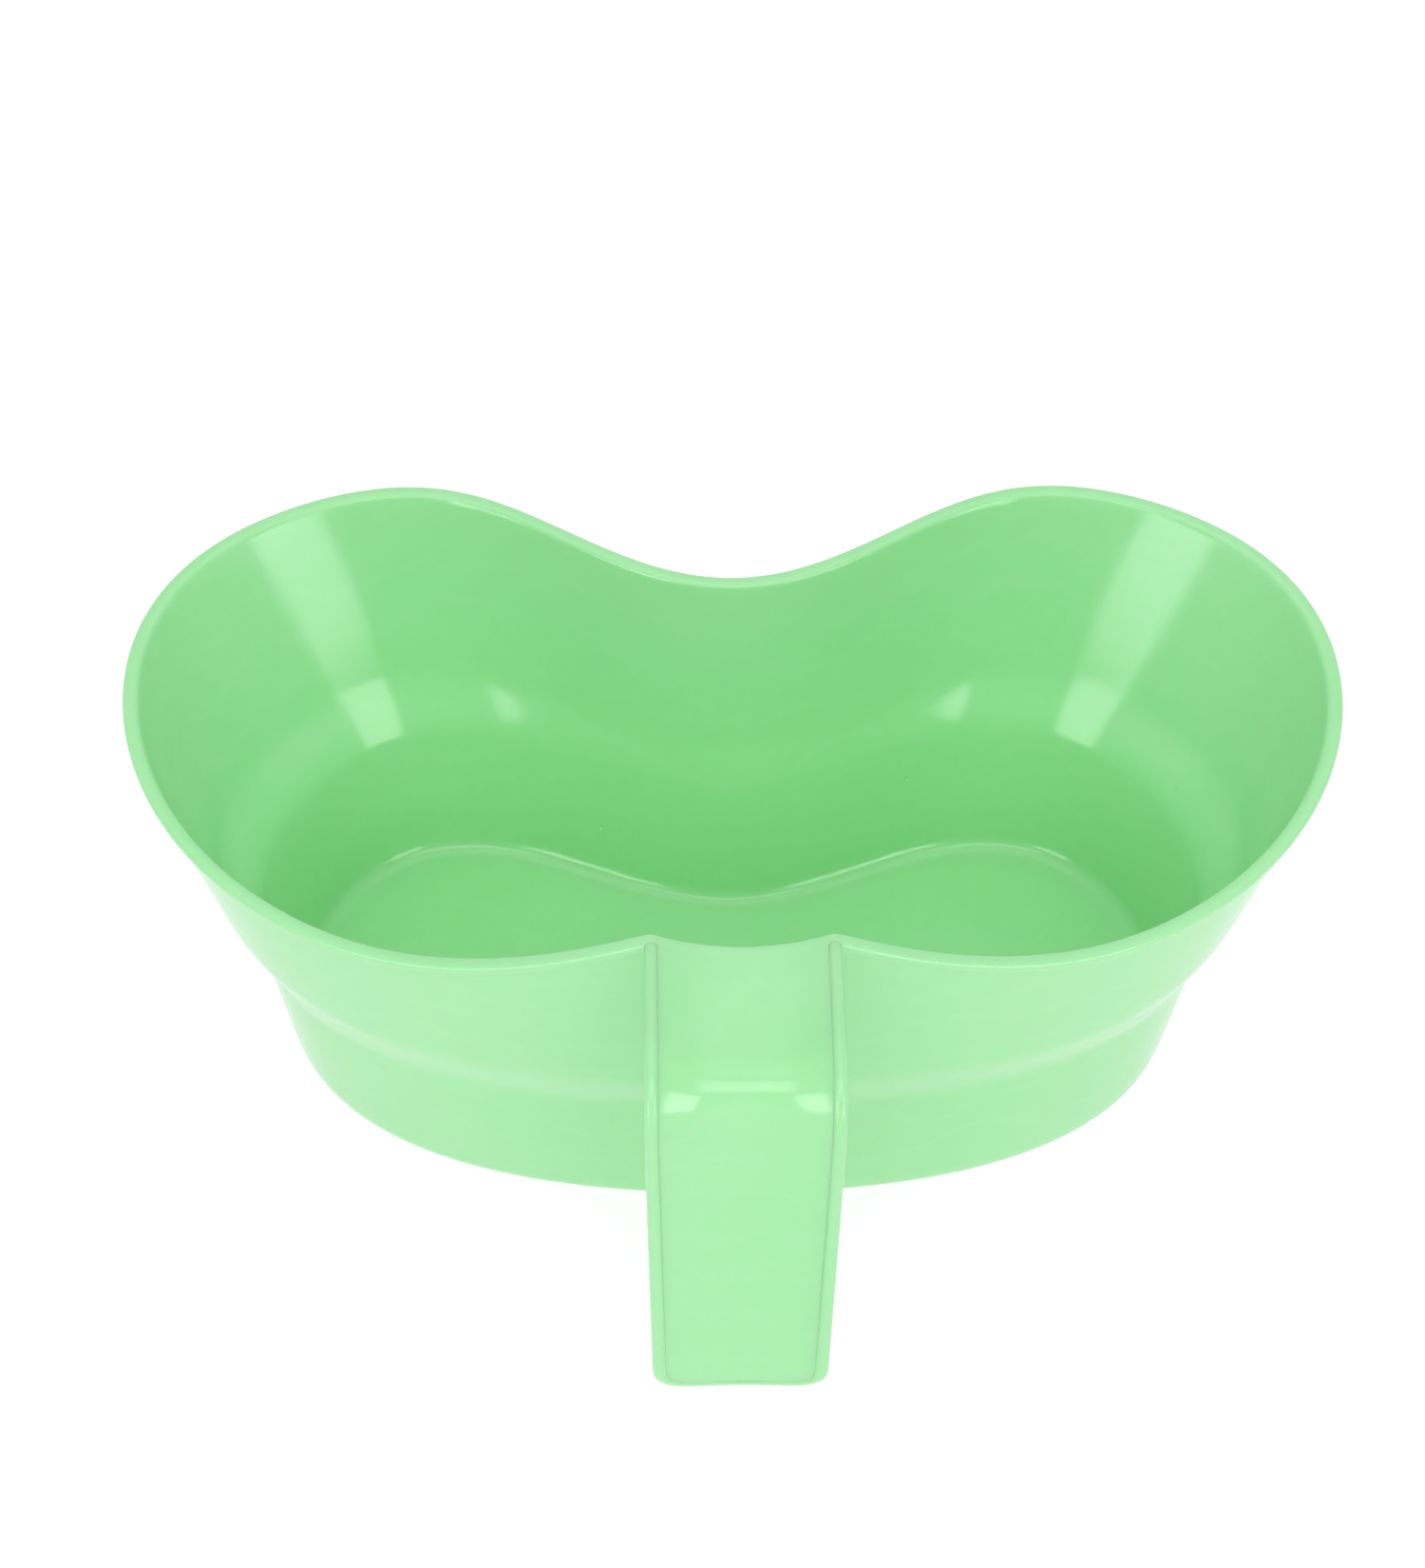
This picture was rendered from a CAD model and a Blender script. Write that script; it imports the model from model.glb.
import math
import bmesh
import bpy
from mathutils import Matrix, Vector


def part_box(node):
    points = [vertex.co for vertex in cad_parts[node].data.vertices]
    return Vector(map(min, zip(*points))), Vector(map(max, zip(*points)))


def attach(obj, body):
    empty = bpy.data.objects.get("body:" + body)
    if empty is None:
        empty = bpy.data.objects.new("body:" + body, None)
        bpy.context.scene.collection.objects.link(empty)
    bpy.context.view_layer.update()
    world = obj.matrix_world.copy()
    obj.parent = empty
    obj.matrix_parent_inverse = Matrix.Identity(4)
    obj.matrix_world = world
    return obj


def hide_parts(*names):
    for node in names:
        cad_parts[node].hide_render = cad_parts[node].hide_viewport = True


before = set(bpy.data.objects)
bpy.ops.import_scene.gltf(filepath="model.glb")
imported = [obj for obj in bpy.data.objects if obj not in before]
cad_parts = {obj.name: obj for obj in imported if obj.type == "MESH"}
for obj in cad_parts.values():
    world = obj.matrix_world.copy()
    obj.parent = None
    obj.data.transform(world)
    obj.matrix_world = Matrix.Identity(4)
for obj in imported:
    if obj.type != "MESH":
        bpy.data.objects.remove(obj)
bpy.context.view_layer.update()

mm = 0.001
body = "root"
mergeDistance = 0.001 * mm
print("frame loaded:", len(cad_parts), "nodes")

# The basin's wall, the same at every height: half of each kidney outline as stations at
# equal turns, from the middle of the front round to the middle of the back, in millimetres.
basin = {
    "footStations": [(0, -50), (49, -43.5), (78.5, -26), (90, -5), (84.5, 31), (45, 45),
                     (0, 32)],
    "rimStations": [(0, -71.5), (53.5, -66.5), (113, -31), (125, 34.5), (89, 69), (46.5, 65.5),
                    (0, 45)],
    "footWidth": 1.2 * mm,
    "baseRadius": 4.0 * mm,         # outside corner under the wall
    "floorFillet": 3.0 * mm,        # inside corner round the floor
    "baseSpread": 0.235,            # 0 is the foot outline, 1 the rim outline
    "shoulderLowSpread": 0.42,
    "shoulderHighSpread": 0.65,
    "rimHeight": 87.0 * mm,
    "rimTilt": 0.07,                # how steeply the top edge climbs to the back
    "rimRise": 20.8 * mm,           # extra height of the top edge at the handle
    "riseHalf": 17.8 * mm,          # half width that keeps all of that height
    "riseEnd": 90.0 * mm,           # half width at which the rise has run out
    "riseEase": 0.02,               # rounds the top edge where it leaves that height
    "longestStep": 0.034,           # turn between two columns of the mesh, in radians
    "shortestStep": 0.005,          # the same beside the handle
    "stepGrowth": 1.5,
    "topTries": 8,                  # tries at the height of the top edge of one column
}

# Places that the frame already holds.
floorLow, floorTop = (corner.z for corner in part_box("basin_floor"))
shoulderLow, shoulderHigh = (corner.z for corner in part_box("shoulder"))
wall = floorTop - floorLow
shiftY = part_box("foot_ring")[0].y - basin["footStations"][0][1] * mm + basin["footWidth"] / 2

handle = {
    "beadRadius": 1.4 * mm,
    "hollowAtRim": 4.2 * mm,        # depth of the channel where it leaves the basin
    "hollow": 6.1 * mm,             # depth of the channel from the bend on
    "bulge": 0.45 * mm,             # rounding of the plate's long edges, under the bead
    "edgeLift": 0.28 * mm,          # how much the plate thickens where it runs into the bead
    "edgeLiftStart": 0.84,          # share of the half width where that starts
    "columns": 16,                  # cells across the channel
    "bridgeRings": 7,
    "bendRings": 12,
    "gripRings": 14,
    "endRings": 9,
    "endRunIn": 7.0 * mm,           # straight length that eases into the rounded end
    "widestTurn": 0.6,              # turn that is surely past the handle's side
    "turnHalvings": 40,
}
beadLow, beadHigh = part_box("handle_edge_beads")
halfBead = beadHigh.x - handle["beadRadius"]        # middle of the channel to a bead's middle
crest = beadHigh.z - handle["beadRadius"] + wall / 2
gripFront = beadLow.y + handle["beadRadius"] - wall / 2 - shiftY
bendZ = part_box("handle_bend")[0].z
bendRadius = crest - bendZ
bendY = gripFront + bendRadius
endLow, roundStart = (corner.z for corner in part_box("handle_tip"))
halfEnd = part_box("handle_tip")[1].x - handle["beadRadius"]
endRound = roundStart - endLow - wall / 2


def blendedStations(spread):
    pairs = zip(basin["footStations"], basin["rimStations"])
    return [((fx + (rx - fx) * spread) * mm, (fy + (ry - fy) * spread) * mm)
            for (fx, fy), (rx, ry) in pairs]


# A sine series in X and a cosine series in Y pass smoothly through the stations.
def outlineAt(stations, turn, offset):
    last = len(stations) - 1
    x = y = dx = dy = 0.0
    for order in range(last + 1):
        sine = cosine = 0.0
        for k, (sx, sy) in enumerate(stations):
            share = 0.5 if k in (0, last) else 1.0
            sine += sx * math.sin(order * math.pi * k / last)
            cosine += sy * share * math.cos(order * math.pi * k / last)
        sine *= 2.0 / last
        cosine *= (1.0 if order in (0, last) else 2.0) / last
        x += sine * math.sin(order * turn)
        y += cosine * math.cos(order * turn)
        dx += sine * order * math.cos(order * turn)
        dy -= cosine * order * math.sin(order * turn)
    speed = math.hypot(dx, dy)
    return x + offset * dy / speed, y - offset * dx / speed


# How far the wall has spread at a height: straight, then the shoulder's curve, then straight.
def wallSpread(z):
    low, high = basin["shoulderLowSpread"], basin["shoulderHighSpread"]
    lowSlope = (low - basin["baseSpread"]) / (shoulderLow - floorLow)
    highSlope = (1 - high) / (basin["rimHeight"] - shoulderHigh)
    if z <= shoulderLow:
        return basin["baseSpread"] + lowSlope * (z - floorLow)
    if z >= shoulderHigh:
        return high + highSlope * (z - shoulderHigh)
    run = shoulderHigh - shoulderLow
    u = (z - shoulderLow) / run
    start = low * (1 + 2 * u) * (1 - u) ** 2 + lowSlope * run * u * (1 - u) ** 2
    return start + high * u ** 2 * (3 - 2 * u) - highSlope * run * u ** 2 * (1 - u)


def wallPoint(turn, z, offset=0.0):
    x, y = outlineAt(blendedStations(wallSpread(z)), turn, offset)
    return Vector((x, y, z))


def channelDepth(x, half, hollow):
    radius = (half ** 2 + hollow ** 2) / (2 * hollow)
    return math.sqrt(max(radius ** 2 - x ** 2, 0.0)) - radius + hollow


# Height of the top edge over a point of the wall.
def rimTop(x, y):
    flat = basin["rimHeight"] + basin["rimTilt"] * y
    if y > 0:
        return flat
    u = (abs(x) - basin["riseHalf"]) / (basin["riseEnd"] - basin["riseHalf"])
    u = math.hypot(max(u, 0.0), basin["riseEase"]) - basin["riseEase"]
    return flat + basin["rimRise"] * (1 - min(u, 1.0)) ** 2


def columnTop(turn):
    z = basin["rimHeight"]
    for _ in range(basin["topTries"]):
        point = wallPoint(turn, z)
        z = rimTop(point.x, point.y)
    if abs(point.x) < halfBead and point.y < 0:
        z = crest - channelDepth(point.x, halfBead, handle["hollowAtRim"])
    return z


# The turn at which the top edge meets the side of the handle.
def turnAtHandle():
    low, high = 0.0, handle["widestTurn"]
    for _ in range(handle["turnHalvings"]):
        middle = (low + high) / 2
        if wallPoint(middle, crest).x < halfBead:
            low = middle
        else:
            high = middle
    return high


def columnTurns(edgeTurn):
    cells = handle["columns"]
    across = [edgeTurn * math.sin(math.pi * (k / cells - 0.5)) for k in range(1, cells)]
    side = [edgeTurn]
    step = basin["shortestStep"]
    while step < basin["longestStep"]:
        side.append(side[-1] + step)
        step *= basin["stepGrowth"]
    cells = math.ceil((math.pi - side[-1]) / basin["longestStep"])
    start = side[-1]
    side += [start + (math.pi - start) * k / cells for k in range(1, cells + 1)]
    mirrored = [2 * math.pi - turn for turn in reversed(side[:-1])]
    return across, side + mirrored


# The shell's mesh. The lip's section runs from the wall under it, out, over the top edge
# and into the basin: height from the top edge and distance out from the wall, in millimetres.
shell = {
    "outerFace": [(-3.4, 0.0), (-2.95, 0.22), (-2.75, 0.8), (-2.45, 1.18), (-1.9, 1.3),
                  (-1.0, 1.3), (-0.42, 1.1)],
    "top": [(-0.1, 0.6), (0.0, -0.1), (0.0, -1.2), (-0.14, -1.75), (-0.5, -2.08), (-1.1, -2.2)],
    "floorScales": [0.12, 0.32, 0.54, 0.74, 0.89, 0.97],    # rings of the floor, from its middle
    "cornerRows": 5,
    "lowerRows": 6,
    "shoulderRows": 11,
    "flaredRows": 13,
}


def spacedHeights(low, high, rows):
    return [low + (high - low) * k / rows for k in range(1, rows + 1)]


# One column of the shell: the points of its section from the middle of the underside, up
# the outside, over the top edge and down the inside to the middle of the floor.
def shellColumn(turn):
    top = columnTop(turn)
    radius, fillet = basin["baseRadius"], basin["floorFillet"]
    corner = [math.pi / 2 * k / shell["cornerRows"] for k in range(shell["cornerRows"] + 1)]
    section = [(floorLow + radius * (1 - math.cos(a)), radius * (math.sin(a) - 1)) for a in corner]
    section += [(z, 0.0) for z in spacedHeights(section[-1][0], shoulderLow, shell["lowerRows"])]
    section += [(z, 0.0) for z in spacedHeights(shoulderLow, shoulderHigh, shell["shoulderRows"])]
    lipFoot = top + shell["outerFace"][0][0] * mm
    section += [(z, 0.0) for z in spacedHeights(shoulderHigh, lipFoot, shell["flaredRows"])[:-1]]
    outerStart = len(section)
    section += [(top + dz * mm, out * mm) for dz, out in shell["outerFace"] + shell["top"]]
    inner = section[-1][0]
    section += [(z, -wall) for z in spacedHeights(inner, shoulderHigh, shell["flaredRows"])]
    section += [(z, -wall) for z in spacedHeights(shoulderHigh, shoulderLow, shell["shoulderRows"])]
    section += [(z, -wall) for z in spacedHeights(shoulderLow, floorTop + fillet, shell["lowerRows"])]
    section += [(floorTop + fillet * (1 - math.cos(a)), -wall - fillet * (1 - math.sin(a)))
                for a in reversed(corner[:-1])]
    points = [wallPoint(turn, z, offset) for z, offset in section]
    centre = Vector((0, (basin["footStations"][0][1] + basin["footStations"][-1][1]) / 2 * mm, 0))
    under = [scaledAbout(points[0], centre, scale) for scale in shell["floorScales"]]
    over = [scaledAbout(points[-1], centre, scale) for scale in reversed(shell["floorScales"])]
    return under + points + over, len(under) + outerStart


def scaledAbout(point, centre, scale):
    flat = centre + (point - centre) * scale
    return Vector((flat.x, flat.y, point.z))


def edgeLift(share):
    start = handle["edgeLiftStart"]
    return handle["edgeLift"] * max((abs(share) - start) / (1 - start), 0.0) ** 2


# One ring of the handle: the channel's top from left to right, the right edge down, the
# underside back and the left edge up, as distance across and depth below the top.
def channelRing(half, hollow, cells, edgePoints):
    across = [half * math.sin(math.pi * (k / cells - 0.5)) for k in range(cells + 1)]
    share = [k / (edgePoints + 1) for k in range(1, edgePoints + 1)]
    depths = [channelDepth(x, half, hollow) for x in across]
    lifts = [edgeLift(x / half) for x in across]
    top = [(x, depth - lift) for x, depth, lift in zip(across, depths, lifts)]
    right = [(half + handle["bulge"] * math.sin(math.pi * s), wall * s) for s in share]
    below = [(x, depth + wall + lift) for x, depth, lift in zip(across, depths, lifts)][::-1]
    left = [(-x, depth) for x, depth in reversed(right)]
    return top + right + below + left


# Rings from the lip outwards: a list of ring points for each step along the handle.
def handleRings(lipY, edgePoints):
    cells = handle["columns"]
    rings = []
    run = lipY - bendY
    for k in range(1, handle["bridgeRings"] + 1):
        share = k / handle["bridgeRings"]
        y = lipY - run * share
        hollow = handle["hollowAtRim"] + (handle["hollow"] - handle["hollowAtRim"]) * share
        ring = channelRing(halfBead, hollow, cells, edgePoints)
        rings.append([Vector((x, y, crest - depth)) for x, depth in ring])
    ring = channelRing(halfBead, handle["hollow"], cells, edgePoints)
    for k in range(1, handle["bendRings"] + 1):
        angle = math.pi / 2 * k / handle["bendRings"]
        rings.append([Vector((x, bendY - (bendRadius - depth) * math.sin(angle),
                              bendZ + (bendRadius - depth) * math.cos(angle))) for x, depth in ring])
    runIn = roundStart + handle["endRunIn"]
    for z in spacedHeights(bendZ, runIn, handle["gripRings"]):
        half = halfEnd + (halfBead - halfEnd) * (z - roundStart) / (bendZ - roundStart)
        ring = channelRing(half, handle["hollow"], cells, edgePoints)
        rings.append([Vector((x, gripFront + depth, z)) for x, depth in ring])
    for k in range(1, handle["endRings"] + 1):
        share = k / handle["endRings"]
        half = halfEnd + (half - halfEnd) * (1 - share)
        ring = channelRing(half, handle["hollow"], cells, edgePoints)
        rings.append([Vector((x, gripFront + depth, runIn + (endHeight(x, half) - runIn) * share))
                      for x, depth in ring])
    return rings


def endHeight(x, half):
    return roundStart - endRound * math.sqrt(max(1 - (x / half) ** 2, 0.0))


def buildMoulding():
    edgeTurn = turnAtHandle()
    across, around = columnTurns(edgeTurn)
    turns = around + across
    mesh = bmesh.new()
    columns = []
    for turn in turns:
        points, lipStart = shellColumn(turn)
        columns.append([mesh.verts.new(p) for p in points])
    faceRows = len(shell["outerFace"])
    topRow = lipStart + faceRows            # first row of the top edge
    count, rows = len(columns), len(columns[0])
    firstAcross = len(around) - 1           # the handle's columns follow the last one around
    for c in range(count):
        a, b = columns[c], columns[(c + 1) % count]
        for r in range(rows - 1):
            if c >= firstAcross and lipStart <= r < topRow:
                continue
            mesh.faces.new((a[r], b[r], b[r + 1], a[r + 1]))
    for r, z in ((0, floorLow), (rows - 1, floorTop)):
        middle = sum((column[r].co for column in columns), Vector()) / count
        pole = mesh.verts.new((middle.x, middle.y, z))
        for c in range(count):
            mesh.faces.new((columns[c][r], columns[(c + 1) % count][r], pole))

    # The handle grows out of the gap that is left in the outer face of the lip.
    zone = columns[firstAcross:] + [columns[0]]
    loop = [column[topRow] for column in zone]
    loop += [zone[-1][r] for r in range(topRow - 1, lipStart, -1)]
    loop += [column[lipStart] for column in reversed(zone)]
    loop += [zone[0][r] for r in range(lipStart + 1, topRow)]
    lipY = min(vertex.co.y for vertex in loop) - wall / 2
    for points in handleRings(lipY, faceRows - 1):
        ring = [mesh.verts.new(p) for p in points]
        for k in range(len(ring)):
            n = (k + 1) % len(ring)
            mesh.faces.new((loop[k], loop[n], ring[n], ring[k]))
        loop = ring
    cells = handle["columns"]
    edge = faceRows - 1
    below = loop[cells + 1 + edge:2 * (cells + 1) + edge]
    for k in range(cells):
        mesh.faces.new((loop[k], loop[k + 1], below[cells - k - 1], below[cells - k]))
    mesh.faces.new(loop[cells:cells + edge + 2])
    mesh.faces.new(loop[2 * cells + edge + 1:] + [loop[0]])
    bmesh.ops.recalc_face_normals(mesh, faces=mesh.faces)
    return finishedPiece("basinMoulding", mesh)


def finishedPiece(name, mesh):
    for vertex in mesh.verts:
        vertex.co.y += shiftY
    data = bpy.data.meshes.new(name)
    mesh.to_mesh(data)
    mesh.free()
    data.shade_smooth()
    piece = bpy.data.objects.new(name, data)
    bpy.context.collection.objects.link(piece)
    return piece


# Mint polypropylene: glossy, a little translucent, with the soft clouds, flow lines and fine
# rubs of a moulded part.
plastic = {
    "tint": (0.375, 0.775, 0.392, 1.0),
    "deepTint": (0.348, 0.76, 0.364, 1.0),
    "flowTint": (0.43, 0.788, 0.445, 1.0),
    "roughness": (0.12, 0.22),      # where the surface is fresh, and where it is rubbed
    "specular": 0.5,
    "translucence": 0.25,
    "lightReach": (0.35, 1.0, 0.38),        # shares of red, green and blue
    "reachScale": 0.006,            # how far light travels inside, in metres
    "cloudScale": 14.0,             # clouds per metre
    "cloudNoise": (3.0, 0.5),       # detail and roughness of a noise, as for the others
    "cloudRange": (0.3, 0.7),       # noise values that give the tint and the deep tint
    "flowScale": 26.0,
    "flowDistortion": 9.0,
    "flowDetail": 3.0,
    "flowDetailScale": 1.6,
    "flowStart": 0.82,              # wave value from which a flow line shows
    "flowMost": 0.16,               # share of the flow tint in the middle of a line
    "rubScale": 60.0,
    "rubNoise": (6.0, 0.62),
    "rubStretch": (1.0, 1.0, 0.3),
    "rubRange": (0.35, 0.75),       # noise values that give the two roughnesses
    "grainScale": 900.0,
    "grainNoise": (2.0, 0.5),
    "grainBump": (0.06, 0.0001),    # strength and height in metres, as for the next two
    "waveScale": 22.0,
    "waveNoise": (2.0, 0.45),
    "waveBump": (0.2, 0.0004),
    "pitScale": 55.0,
    "pitSize": 0.045,               # share of a cell that a pit takes up
    "pitBump": (0.5, 0.0004),
}


# Adds nodes to a tree, with their inputs or settings, and joins them.
class NodeSheet:
    def __init__(self, tree):
        self.tree = tree

    def add(self, kind, **settings):
        node = self.tree.nodes.new(kind)
        for name, value in settings.items():
            if name in node.inputs:
                node.inputs[name].default_value = value
            else:
                setattr(node, name, value)
        return node

    def addNoise(self, scale, noise):
        detail, roughness = noise
        return self.add("ShaderNodeTexNoise", Scale=scale, Detail=detail, Roughness=roughness)

    def addBump(self, sizes):
        strength, height = sizes
        return self.add("ShaderNodeBump", Strength=strength, Distance=height)

    def join(self, source, output, target, socket):
        self.tree.links.new(source.outputs[output], target.inputs[socket])


# Places of a Mix node's colour sockets, which share their names with its other sockets.
colourA, colourB, colourOut = 6, 7, 2


def plasticMaterial(name, finish):
    material = bpy.data.materials.new(name)
    material.use_nodes = True
    sheet = NodeSheet(material.node_tree)
    shader = material.node_tree.nodes["Principled BSDF"]
    place = sheet.add("ShaderNodeTexCoord")

    # Soft clouds where the wall is a little thicker.
    clouds = sheet.addNoise(finish["cloudScale"], finish["cloudNoise"])
    cloudRange = sheet.add("ShaderNodeMapRange")
    cloudRange.inputs["From Min"].default_value = finish["cloudRange"][0]
    cloudRange.inputs["From Max"].default_value = finish["cloudRange"][1]
    tint = sheet.add("ShaderNodeMix", data_type="RGBA")
    tint.inputs[colourA].default_value = finish["tint"]
    tint.inputs[colourB].default_value = finish["deepTint"]
    sheet.join(place, "Object", clouds, "Vector")
    sheet.join(clouds, "Fac", cloudRange, "Value")
    sheet.join(cloudRange, "Result", tint, 0)

    # Flow lines, which run across the way that the plastic filled the mould.
    flow = sheet.add("ShaderNodeTexWave", Scale=finish["flowScale"], Detail=finish["flowDetail"])
    flow.inputs["Distortion"].default_value = finish["flowDistortion"]
    flow.inputs["Detail Scale"].default_value = finish["flowDetailScale"]
    flow.bands_direction = "Z"
    flowRange = sheet.add("ShaderNodeMapRange")
    flowRange.inputs["From Min"].default_value = finish["flowStart"]
    flowRange.inputs["To Max"].default_value = finish["flowMost"]
    flowTint = sheet.add("ShaderNodeMix", data_type="RGBA")
    flowTint.inputs[colourB].default_value = finish["flowTint"]
    sheet.join(place, "Object", flow, "Vector")
    sheet.join(flow, "Fac", flowRange, "Value")
    sheet.join(flowRange, "Result", flowTint, 0)
    sheet.join(tint, colourOut, flowTint, colourA)
    sheet.join(flowTint, colourOut, shader, "Base Color")

    # Rubs from handling change the gloss.
    stretch = sheet.add("ShaderNodeMapping")
    stretch.inputs["Scale"].default_value = finish["rubStretch"]
    rubs = sheet.addNoise(finish["rubScale"], finish["rubNoise"])
    rubRange = sheet.add("ShaderNodeMapRange")
    rubRange.inputs["From Min"].default_value = finish["rubRange"][0]
    rubRange.inputs["From Max"].default_value = finish["rubRange"][1]
    rubRange.inputs["To Min"].default_value = finish["roughness"][0]
    rubRange.inputs["To Max"].default_value = finish["roughness"][1]
    sheet.join(place, "Object", stretch, "Vector")
    sheet.join(stretch, "Vector", rubs, "Vector")
    sheet.join(rubs, "Fac", rubRange, "Value")
    sheet.join(rubRange, "Result", shader, "Roughness")

    # Slow waves of the cooled wall under a very fine grain.
    waves = sheet.addNoise(finish["waveScale"], finish["waveNoise"])
    grain = sheet.addNoise(finish["grainScale"], finish["grainNoise"])
    waveBump = sheet.addBump(finish["waveBump"])
    grainBump = sheet.addBump(finish["grainBump"])

    # A few tiny pits and nicks.
    pits = sheet.add("ShaderNodeTexVoronoi", Scale=finish["pitScale"])
    pitRange = sheet.add("ShaderNodeMapRange", interpolation_type="SMOOTHSTEP")
    pitRange.inputs["From Max"].default_value = finish["pitSize"]
    pitBump = sheet.addBump(finish["pitBump"])
    sheet.join(place, "Object", pits, "Vector")
    sheet.join(pits, "Distance", pitRange, "Value")
    sheet.join(pitRange, "Result", pitBump, "Height")
    sheet.join(place, "Object", waves, "Vector")
    sheet.join(place, "Object", grain, "Vector")
    sheet.join(waves, "Fac", waveBump, "Height")
    sheet.join(grain, "Fac", grainBump, "Height")
    sheet.join(waveBump, "Normal", grainBump, "Normal")
    sheet.join(grainBump, "Normal", pitBump, "Normal")
    sheet.join(pitBump, "Normal", shader, "Normal")

    shader.inputs["Specular IOR Level"].default_value = finish["specular"]
    shader.inputs["Subsurface Weight"].default_value = finish["translucence"]
    shader.inputs["Subsurface Radius"].default_value = finish["lightReach"]
    shader.inputs["Subsurface Scale"].default_value = finish["reachScale"]
    return material


mintPlastic = plasticMaterial("mintPlastic", plastic)
print("plastic made")

moulding = buildMoulding()
moulding.data.materials.append(mintPlastic)
smooth = moulding.modifiers.new("smooth", "SUBSURF")
smooth.levels = 1
smooth.render_levels = 1
print("basin moulding:", len(moulding.data.polygons), "faces before smoothing")


# A band of rectangular or round section that follows a path, as geometry nodes.
def bandTree():
    tree = bpy.data.node_groups.new("mouldedBand", "GeometryNodeTree")
    interface = tree.interface
    interface.new_socket("Path", in_out="INPUT", socket_type="NodeSocketGeometry")
    for name in ("Width", "Height", "Corner"):
        interface.new_socket(name, in_out="INPUT", socket_type="NodeSocketFloat")
    interface.new_socket("Corner cells", in_out="INPUT", socket_type="NodeSocketInt")
    interface.new_socket("Material", in_out="INPUT", socket_type="NodeSocketMaterial")
    interface.new_socket("Band", in_out="OUTPUT", socket_type="NodeSocketGeometry")
    sheet = NodeSheet(tree)
    given = sheet.add("NodeGroupInput")
    made = sheet.add("NodeGroupOutput")
    outline = sheet.add("GeometryNodeCurvePrimitiveQuadrilateral", mode="RECTANGLE")
    rounded = sheet.add("GeometryNodeFilletCurve", mode="POLY")
    rounded.inputs["Limit Radius"].default_value = True
    radius = sheet.add("GeometryNodeInputRadius")
    sweep = sheet.add("GeometryNodeCurveToMesh")
    sweep.inputs["Fill Caps"].default_value = True
    smooth = sheet.add("GeometryNodeSetShadeSmooth")
    realize = sheet.add("GeometryNodeRealizeInstances")
    paint = sheet.add("GeometryNodeSetMaterial")
    sheet.join(given, "Width", outline, "Width")
    sheet.join(given, "Height", outline, "Height")
    sheet.join(outline, "Curve", rounded, "Curve")
    sheet.join(given, "Corner", rounded, "Radius")
    sheet.join(given, "Corner cells", rounded, "Count")
    sheet.join(given, "Path", sweep, "Curve")
    sheet.join(rounded, "Curve", sweep, "Profile Curve")
    sheet.join(radius, "Radius", sweep, "Scale")
    sheet.join(sweep, "Mesh", smooth, "Geometry")
    sheet.join(smooth, "Geometry", realize, "Geometry")
    sheet.join(realize, "Geometry", paint, "Geometry")
    sheet.join(given, "Material", paint, "Material")
    sheet.join(paint, "Geometry", made, "Band")
    return tree


def bandAlong(name, tree, points, scales, closed, sizes):
    curve = bpy.data.curves.new(name + "Path", "CURVE")
    curve.dimensions = "3D"
    spline = curve.splines.new("POLY")
    spline.points.add(len(points) - 1)
    for target, point, scale in zip(spline.points, points, scales):
        target.co = (point.x, point.y + shiftY, point.z, 1.0)
        target.radius = scale
    spline.use_cyclic_u = closed
    path = bpy.data.objects.new(name + "Path", curve)
    bpy.context.collection.objects.link(path)
    modifier = path.modifiers.new("band", "NODES")
    modifier.node_group = tree
    for item in tree.interface.items_tree:
        if item.in_out == "INPUT" and item.name in sizes:
            modifier[item.identifier] = sizes[item.name]
    evaluated = path.evaluated_get(bpy.context.evaluated_depsgraph_get())
    data = bpy.data.meshes.new_from_object(evaluated)
    bpy.data.objects.remove(path)
    mesh = bmesh.new()
    mesh.from_mesh(data)
    bmesh.ops.remove_doubles(mesh, verts=mesh.verts, dist=mergeDistance)
    bmesh.ops.recalc_face_normals(mesh, faces=mesh.faces)
    mesh.to_mesh(data)
    mesh.free()
    data.name = name
    piece = bpy.data.objects.new(name, data)
    bpy.context.collection.objects.link(piece)
    return piece


band = bandTree()
print("band tree made")

bead = {
    "lipOverlap": 0.5 * mm,         # how far the bead runs back into the lip
    "endScales": [0.3, 0.62, 0.84, 0.96],   # how the bead swells where it leaves the lip
    "endStep": 0.35 * mm,
    "bridgePoints": 8,
    "bendPoints": 14,
    "gripPoints": 18,
    "endPoints": 40,
    "fadeTurn": 0.5,                # turn along the rounded end in which it sinks into the edge
    "cornerCells": 4,
}


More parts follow.
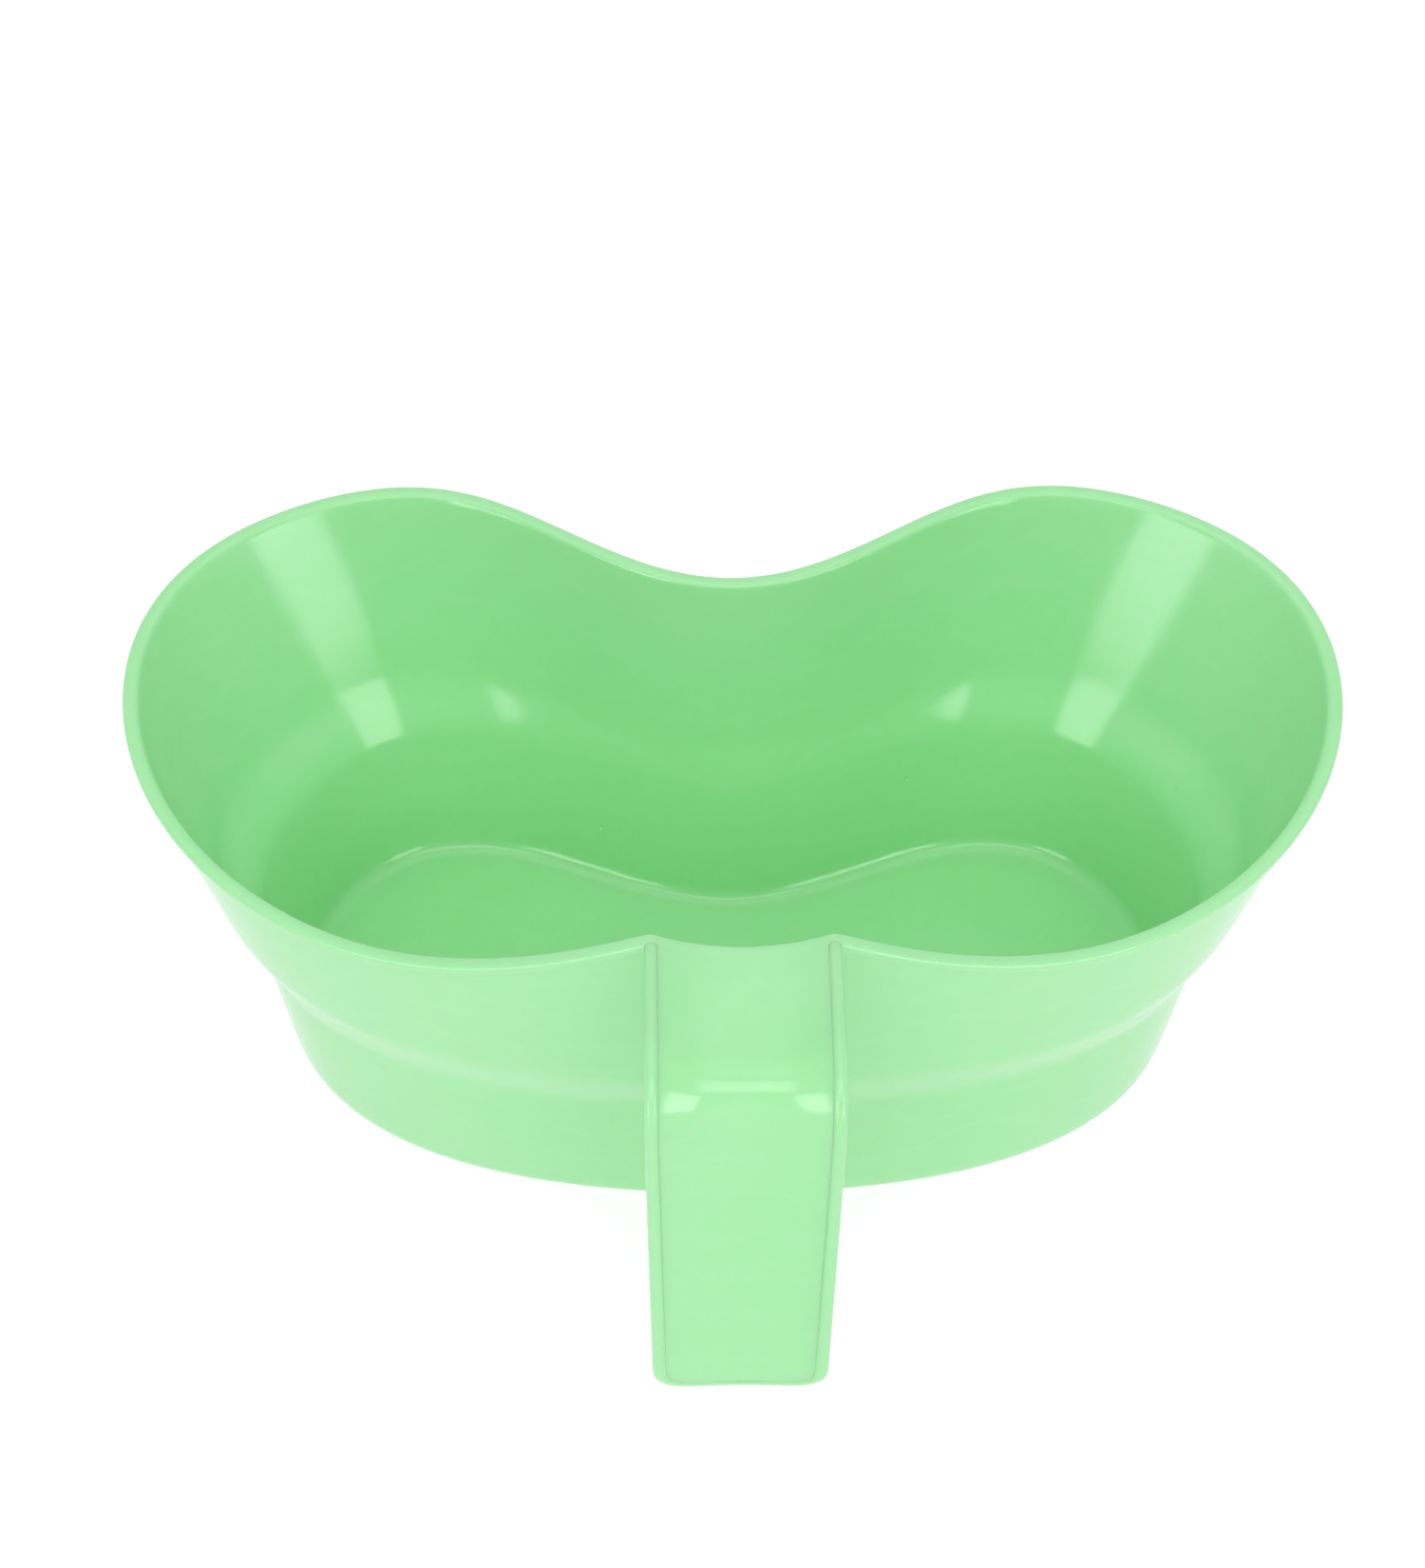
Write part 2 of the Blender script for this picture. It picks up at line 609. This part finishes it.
# Half of the bead's path, from the lip down to the middle of the rounded end.
def beadPath():
    middle = wall / 2
    start = wallPoint(0, crest).y + bead["lipOverlap"]
    points = [Vector((halfBead, start - bead["endStep"] * k, crest - middle))
              for k in range(len(bead["endScales"]))]
    for y in spacedHeights(points[-1].y, bendY, bead["bridgePoints"]):
        points.append(Vector((halfBead, y, crest - middle)))
    for k in range(1, bead["bendPoints"] + 1):
        angle = math.pi / 2 * k / bead["bendPoints"]
        reach = bendRadius - middle
        points.append(Vector((halfBead, bendY - reach * math.sin(angle),
                              bendZ + reach * math.cos(angle))))
    for z in spacedHeights(bendZ, roundStart, bead["gripPoints"]):
        x = halfEnd + (halfBead - halfEnd) * (z - roundStart) / (bendZ - roundStart)
        points.append(Vector((x, gripFront + middle, z)))
    for k in range(1, bead["endPoints"] + 1):
        angle = math.pi / 2 * k / bead["endPoints"]
        x = halfEnd * math.cos(angle)
        depth = channelDepth(x, halfEnd, handle["hollow"]) + middle
        points.append(Vector((x, gripFront + depth, endHeight(x, halfEnd))))
    return points


# The bead swells out of the lip, and sinks to a plain round edge at the free end.
def beadScales(count):
    plain = count - len(bead["endScales"]) - bead["endPoints"]
    flush = wall / 2 / handle["beadRadius"]
    fades = []
    for k in range(1, bead["endPoints"] + 1):
        turned = min(math.pi / 2 * k / bead["endPoints"] / bead["fadeTurn"], 1.0)
        fades.append(1 + (flush - 1) * turned ** 2 * (3 - 2 * turned))
    return bead["endScales"] + [1.0] * plain + fades


half = beadPath()
path = half + [Vector((-p.x, p.y, p.z)) for p in reversed(half[:-1])]
scales = beadScales(len(half))
scales += scales[-2::-1]
width = 2 * handle["beadRadius"]
edgeBead = bandAlong("handleEdgeBead", band, path, scales, False, {
    "Width": width, "Height": width, "Corner": width / 2, "Corner cells": bead["cornerCells"],
    "Material": mintPlastic,
})
print("edge bead:", len(edgeBead.data.polygons), "faces")

footRing = {
    "points": 180,
    "sunk": 0.3 * mm,               # how far the ring runs up into the floor
    "corner": 0.28 * mm,
    "cornerCells": 3,
}
ringHeight = floorLow + footRing["sunk"]
footStations = blendedStations(0)
path = []
for k in range(footRing["points"]):
    x, y = outlineAt(footStations, 2 * math.pi * k / footRing["points"], 0.0)
    path.append(Vector((x, y, ringHeight / 2)))
standRing = bandAlong("footRing", band, path, [1.0] * len(path), True, {
    "Width": basin["footWidth"], "Height": ringHeight, "Corner": footRing["corner"],
    "Corner cells": footRing["cornerCells"], "Material": mintPlastic,
})
print("foot ring:", len(standRing.data.polygons), "faces")

# The mark that the sprue leaves under the floor: a shallow button with a broken-off nib.
sprue = {
    # Radius, and height from the underside of the floor, in millimetres.
    "section": [(0.0, -0.30), (0.22, -0.29), (0.30, -0.12), (0.46, -0.06), (0.95, -0.08),
                (1.12, -0.03), (1.2, 0.1), (1.2, 0.4)],
    "sides": 40,
}


def buildSprueMark():
    lowest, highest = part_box("sprue_mark")
    middle = (lowest + highest) / 2
    mesh = bmesh.new()
    rings = []
    for radius, height in sprue["section"][1:]:
        ring = []
        for k in range(sprue["sides"]):
            angle = 2 * math.pi * k / sprue["sides"]
            ring.append(mesh.verts.new((middle.x + radius * mm * math.cos(angle),
                                        middle.y - shiftY + radius * mm * math.sin(angle),
                                        floorLow + height * mm)))
        rings.append(ring)
    for low, high in zip(rings, rings[1:]):
        for k in range(sprue["sides"]):
            n = (k + 1) % sprue["sides"]
            mesh.faces.new((low[k], low[n], high[n], high[k]))
    tip = mesh.verts.new((middle.x, middle.y - shiftY, floorLow + sprue["section"][0][1] * mm))
    for k in range(sprue["sides"]):
        mesh.faces.new((rings[0][k], rings[0][(k + 1) % sprue["sides"]], tip))
    mesh.faces.new(rings[-1])
    bmesh.ops.recalc_face_normals(mesh, faces=mesh.faces)
    return finishedPiece("sprueMark", mesh)


sprueMark = buildSprueMark()
sprueMark.data.materials.append(mintPlastic)
print("sprue mark made")

replaced = {
    moulding: ["basin_floor", "lower_wall", "shoulder", "flared_wall", "rim_lip", "handle_bridge",
               "handle_bend", "handle_grip", "handle_tip"],
    edgeBead: ["handle_edge_beads"],
    standRing: ["foot_ring"],
    sprueMark: ["sprue_mark"],
}
for piece, nodes in replaced.items():
    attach(piece, body)
    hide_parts(*nodes)
print("pieces ride on", body)

studio = {
    "floorSize": 8.0,               # the pale floor, which also glows so that it stays even
    "floorTint": (0.25, 0.25, 0.25, 1.0),
    "floorGlow": 0.82,
    "floorRoughness": 0.9,
    "worldTint": (1.0, 1.0, 1.0, 1.0),
    "worldStrength": 0.66,
    "ceiling": {"place": (0.0, 0.15, 1.25), "aim": (0.0, 0.0, 0.0),
                "wide": 1.4, "high": 1.4, "watts": 3.4},
    "key": {"place": (0.0, -1.0, 1.0), "aim": (0.0, 0.0, 0.07),
            "wide": 1.8, "high": 0.6, "watts": 7.4},
    # Two low panels in front, which only show as gleams on the far wall.
    "gleams": {"out": 0.80, "front": -0.80, "up": 0.15,
               "aimOut": 0.09, "aimBack": 0.07, "aimUp": 0.07,
               "wide": 0.52, "high": 0.55, "watts": 3.4},
}


def buildStudio():
    floorData = bpy.data.meshes.new("studioFloor")
    reach = studio["floorSize"] / 2
    corners = [(-reach, -reach, 0.0), (reach, -reach, 0.0), (reach, reach, 0.0), (-reach, reach, 0.0)]
    floorData.from_pydata(corners, [], [(0, 1, 2, 3)])
    floor = bpy.data.objects.new("studioFloor", floorData)
    bpy.context.collection.objects.link(floor)
    paper = bpy.data.materials.new("paleFloor")
    paper.use_nodes = True
    paperShader = paper.node_tree.nodes["Principled BSDF"]
    paperShader.inputs["Base Color"].default_value = studio["floorTint"]
    paperShader.inputs["Roughness"].default_value = studio["floorRoughness"]
    paperShader.inputs["Emission Strength"].default_value = studio["floorGlow"]
    floorData.materials.append(paper)
    world = bpy.data.worlds.new("softWorld")
    world.use_nodes = True
    sky = world.node_tree.nodes["Background"]
    sky.inputs["Color"].default_value = studio["worldTint"]
    sky.inputs["Strength"].default_value = studio["worldStrength"]
    bpy.context.scene.world = world
    ceiling = studio["ceiling"]
    buildPanel("ceilingPanel", ceiling["place"], ceiling["aim"], ceiling)
    key = studio["key"]
    buildPanel("keyPanel", key["place"], key["aim"], key)
    gleam = studio["gleams"]
    for name, side in (("leftGleam", -1), ("rightGleam", 1)):
        lamp = buildPanel(name, (side * gleam["out"], gleam["front"], gleam["up"]),
                          (-side * gleam["aimOut"], gleam["aimBack"], gleam["aimUp"]), gleam)
        lamp.visible_diffuse = False
        lamp.data.use_shadow = False
        lamp.data.cycles.use_multiple_importance_sampling = False


def buildPanel(name, place, aim, size):
    light = bpy.data.lights.new(name, "AREA")
    light.shape = "RECTANGLE"
    light.size = size["wide"]
    light.size_y = size["high"]
    light.energy = size["watts"]
    lamp = bpy.data.objects.new(name, light)
    lamp.location = place
    lamp.rotation_euler = (Vector(aim) - Vector(place)).to_track_quat("-Z", "Y").to_euler()
    bpy.context.collection.objects.link(lamp)
    return lamp


buildStudio()
print("studio made")

view = {
    "azimuth": -1.27,               # degrees, 0 looks along +Y
    "elevation": 44.36,
    "roll": 0.68,
    "distance": 0.821,
    "aimX": -0.0046,
    "aimZ": 0.0723,
    "lens": 88.65,
    "sensor": 36.0,
}


def buildCamera():
    azimuth, elevation, roll = (math.radians(view[key]) for key in ("azimuth", "elevation", "roll"))
    back = Vector((math.sin(azimuth) * math.cos(elevation), -math.cos(azimuth) * math.cos(elevation),
                   math.sin(elevation)))
    right = Vector((0, 0, 1)).cross(back).normalized()
    up = back.cross(right)
    rolledRight = right * math.cos(roll) + up * math.sin(roll)
    rolledUp = up * math.cos(roll) - right * math.sin(roll)
    data = bpy.data.cameras.new("mainCamera")
    data.lens = view["lens"]
    data.sensor_width = view["sensor"]
    camera = bpy.data.objects.new("mainCamera", data)
    place = Vector((view["aimX"], shiftY, view["aimZ"])) + back * view["distance"]
    turn = Matrix((rolledRight, rolledUp, back)).transposed().to_4x4()
    camera.matrix_world = Matrix.Translation(place) @ turn
    bpy.context.collection.objects.link(camera)
    bpy.context.scene.camera = camera


buildCamera()
bpy.context.scene.view_settings.view_transform = "Standard"
print("camera made")
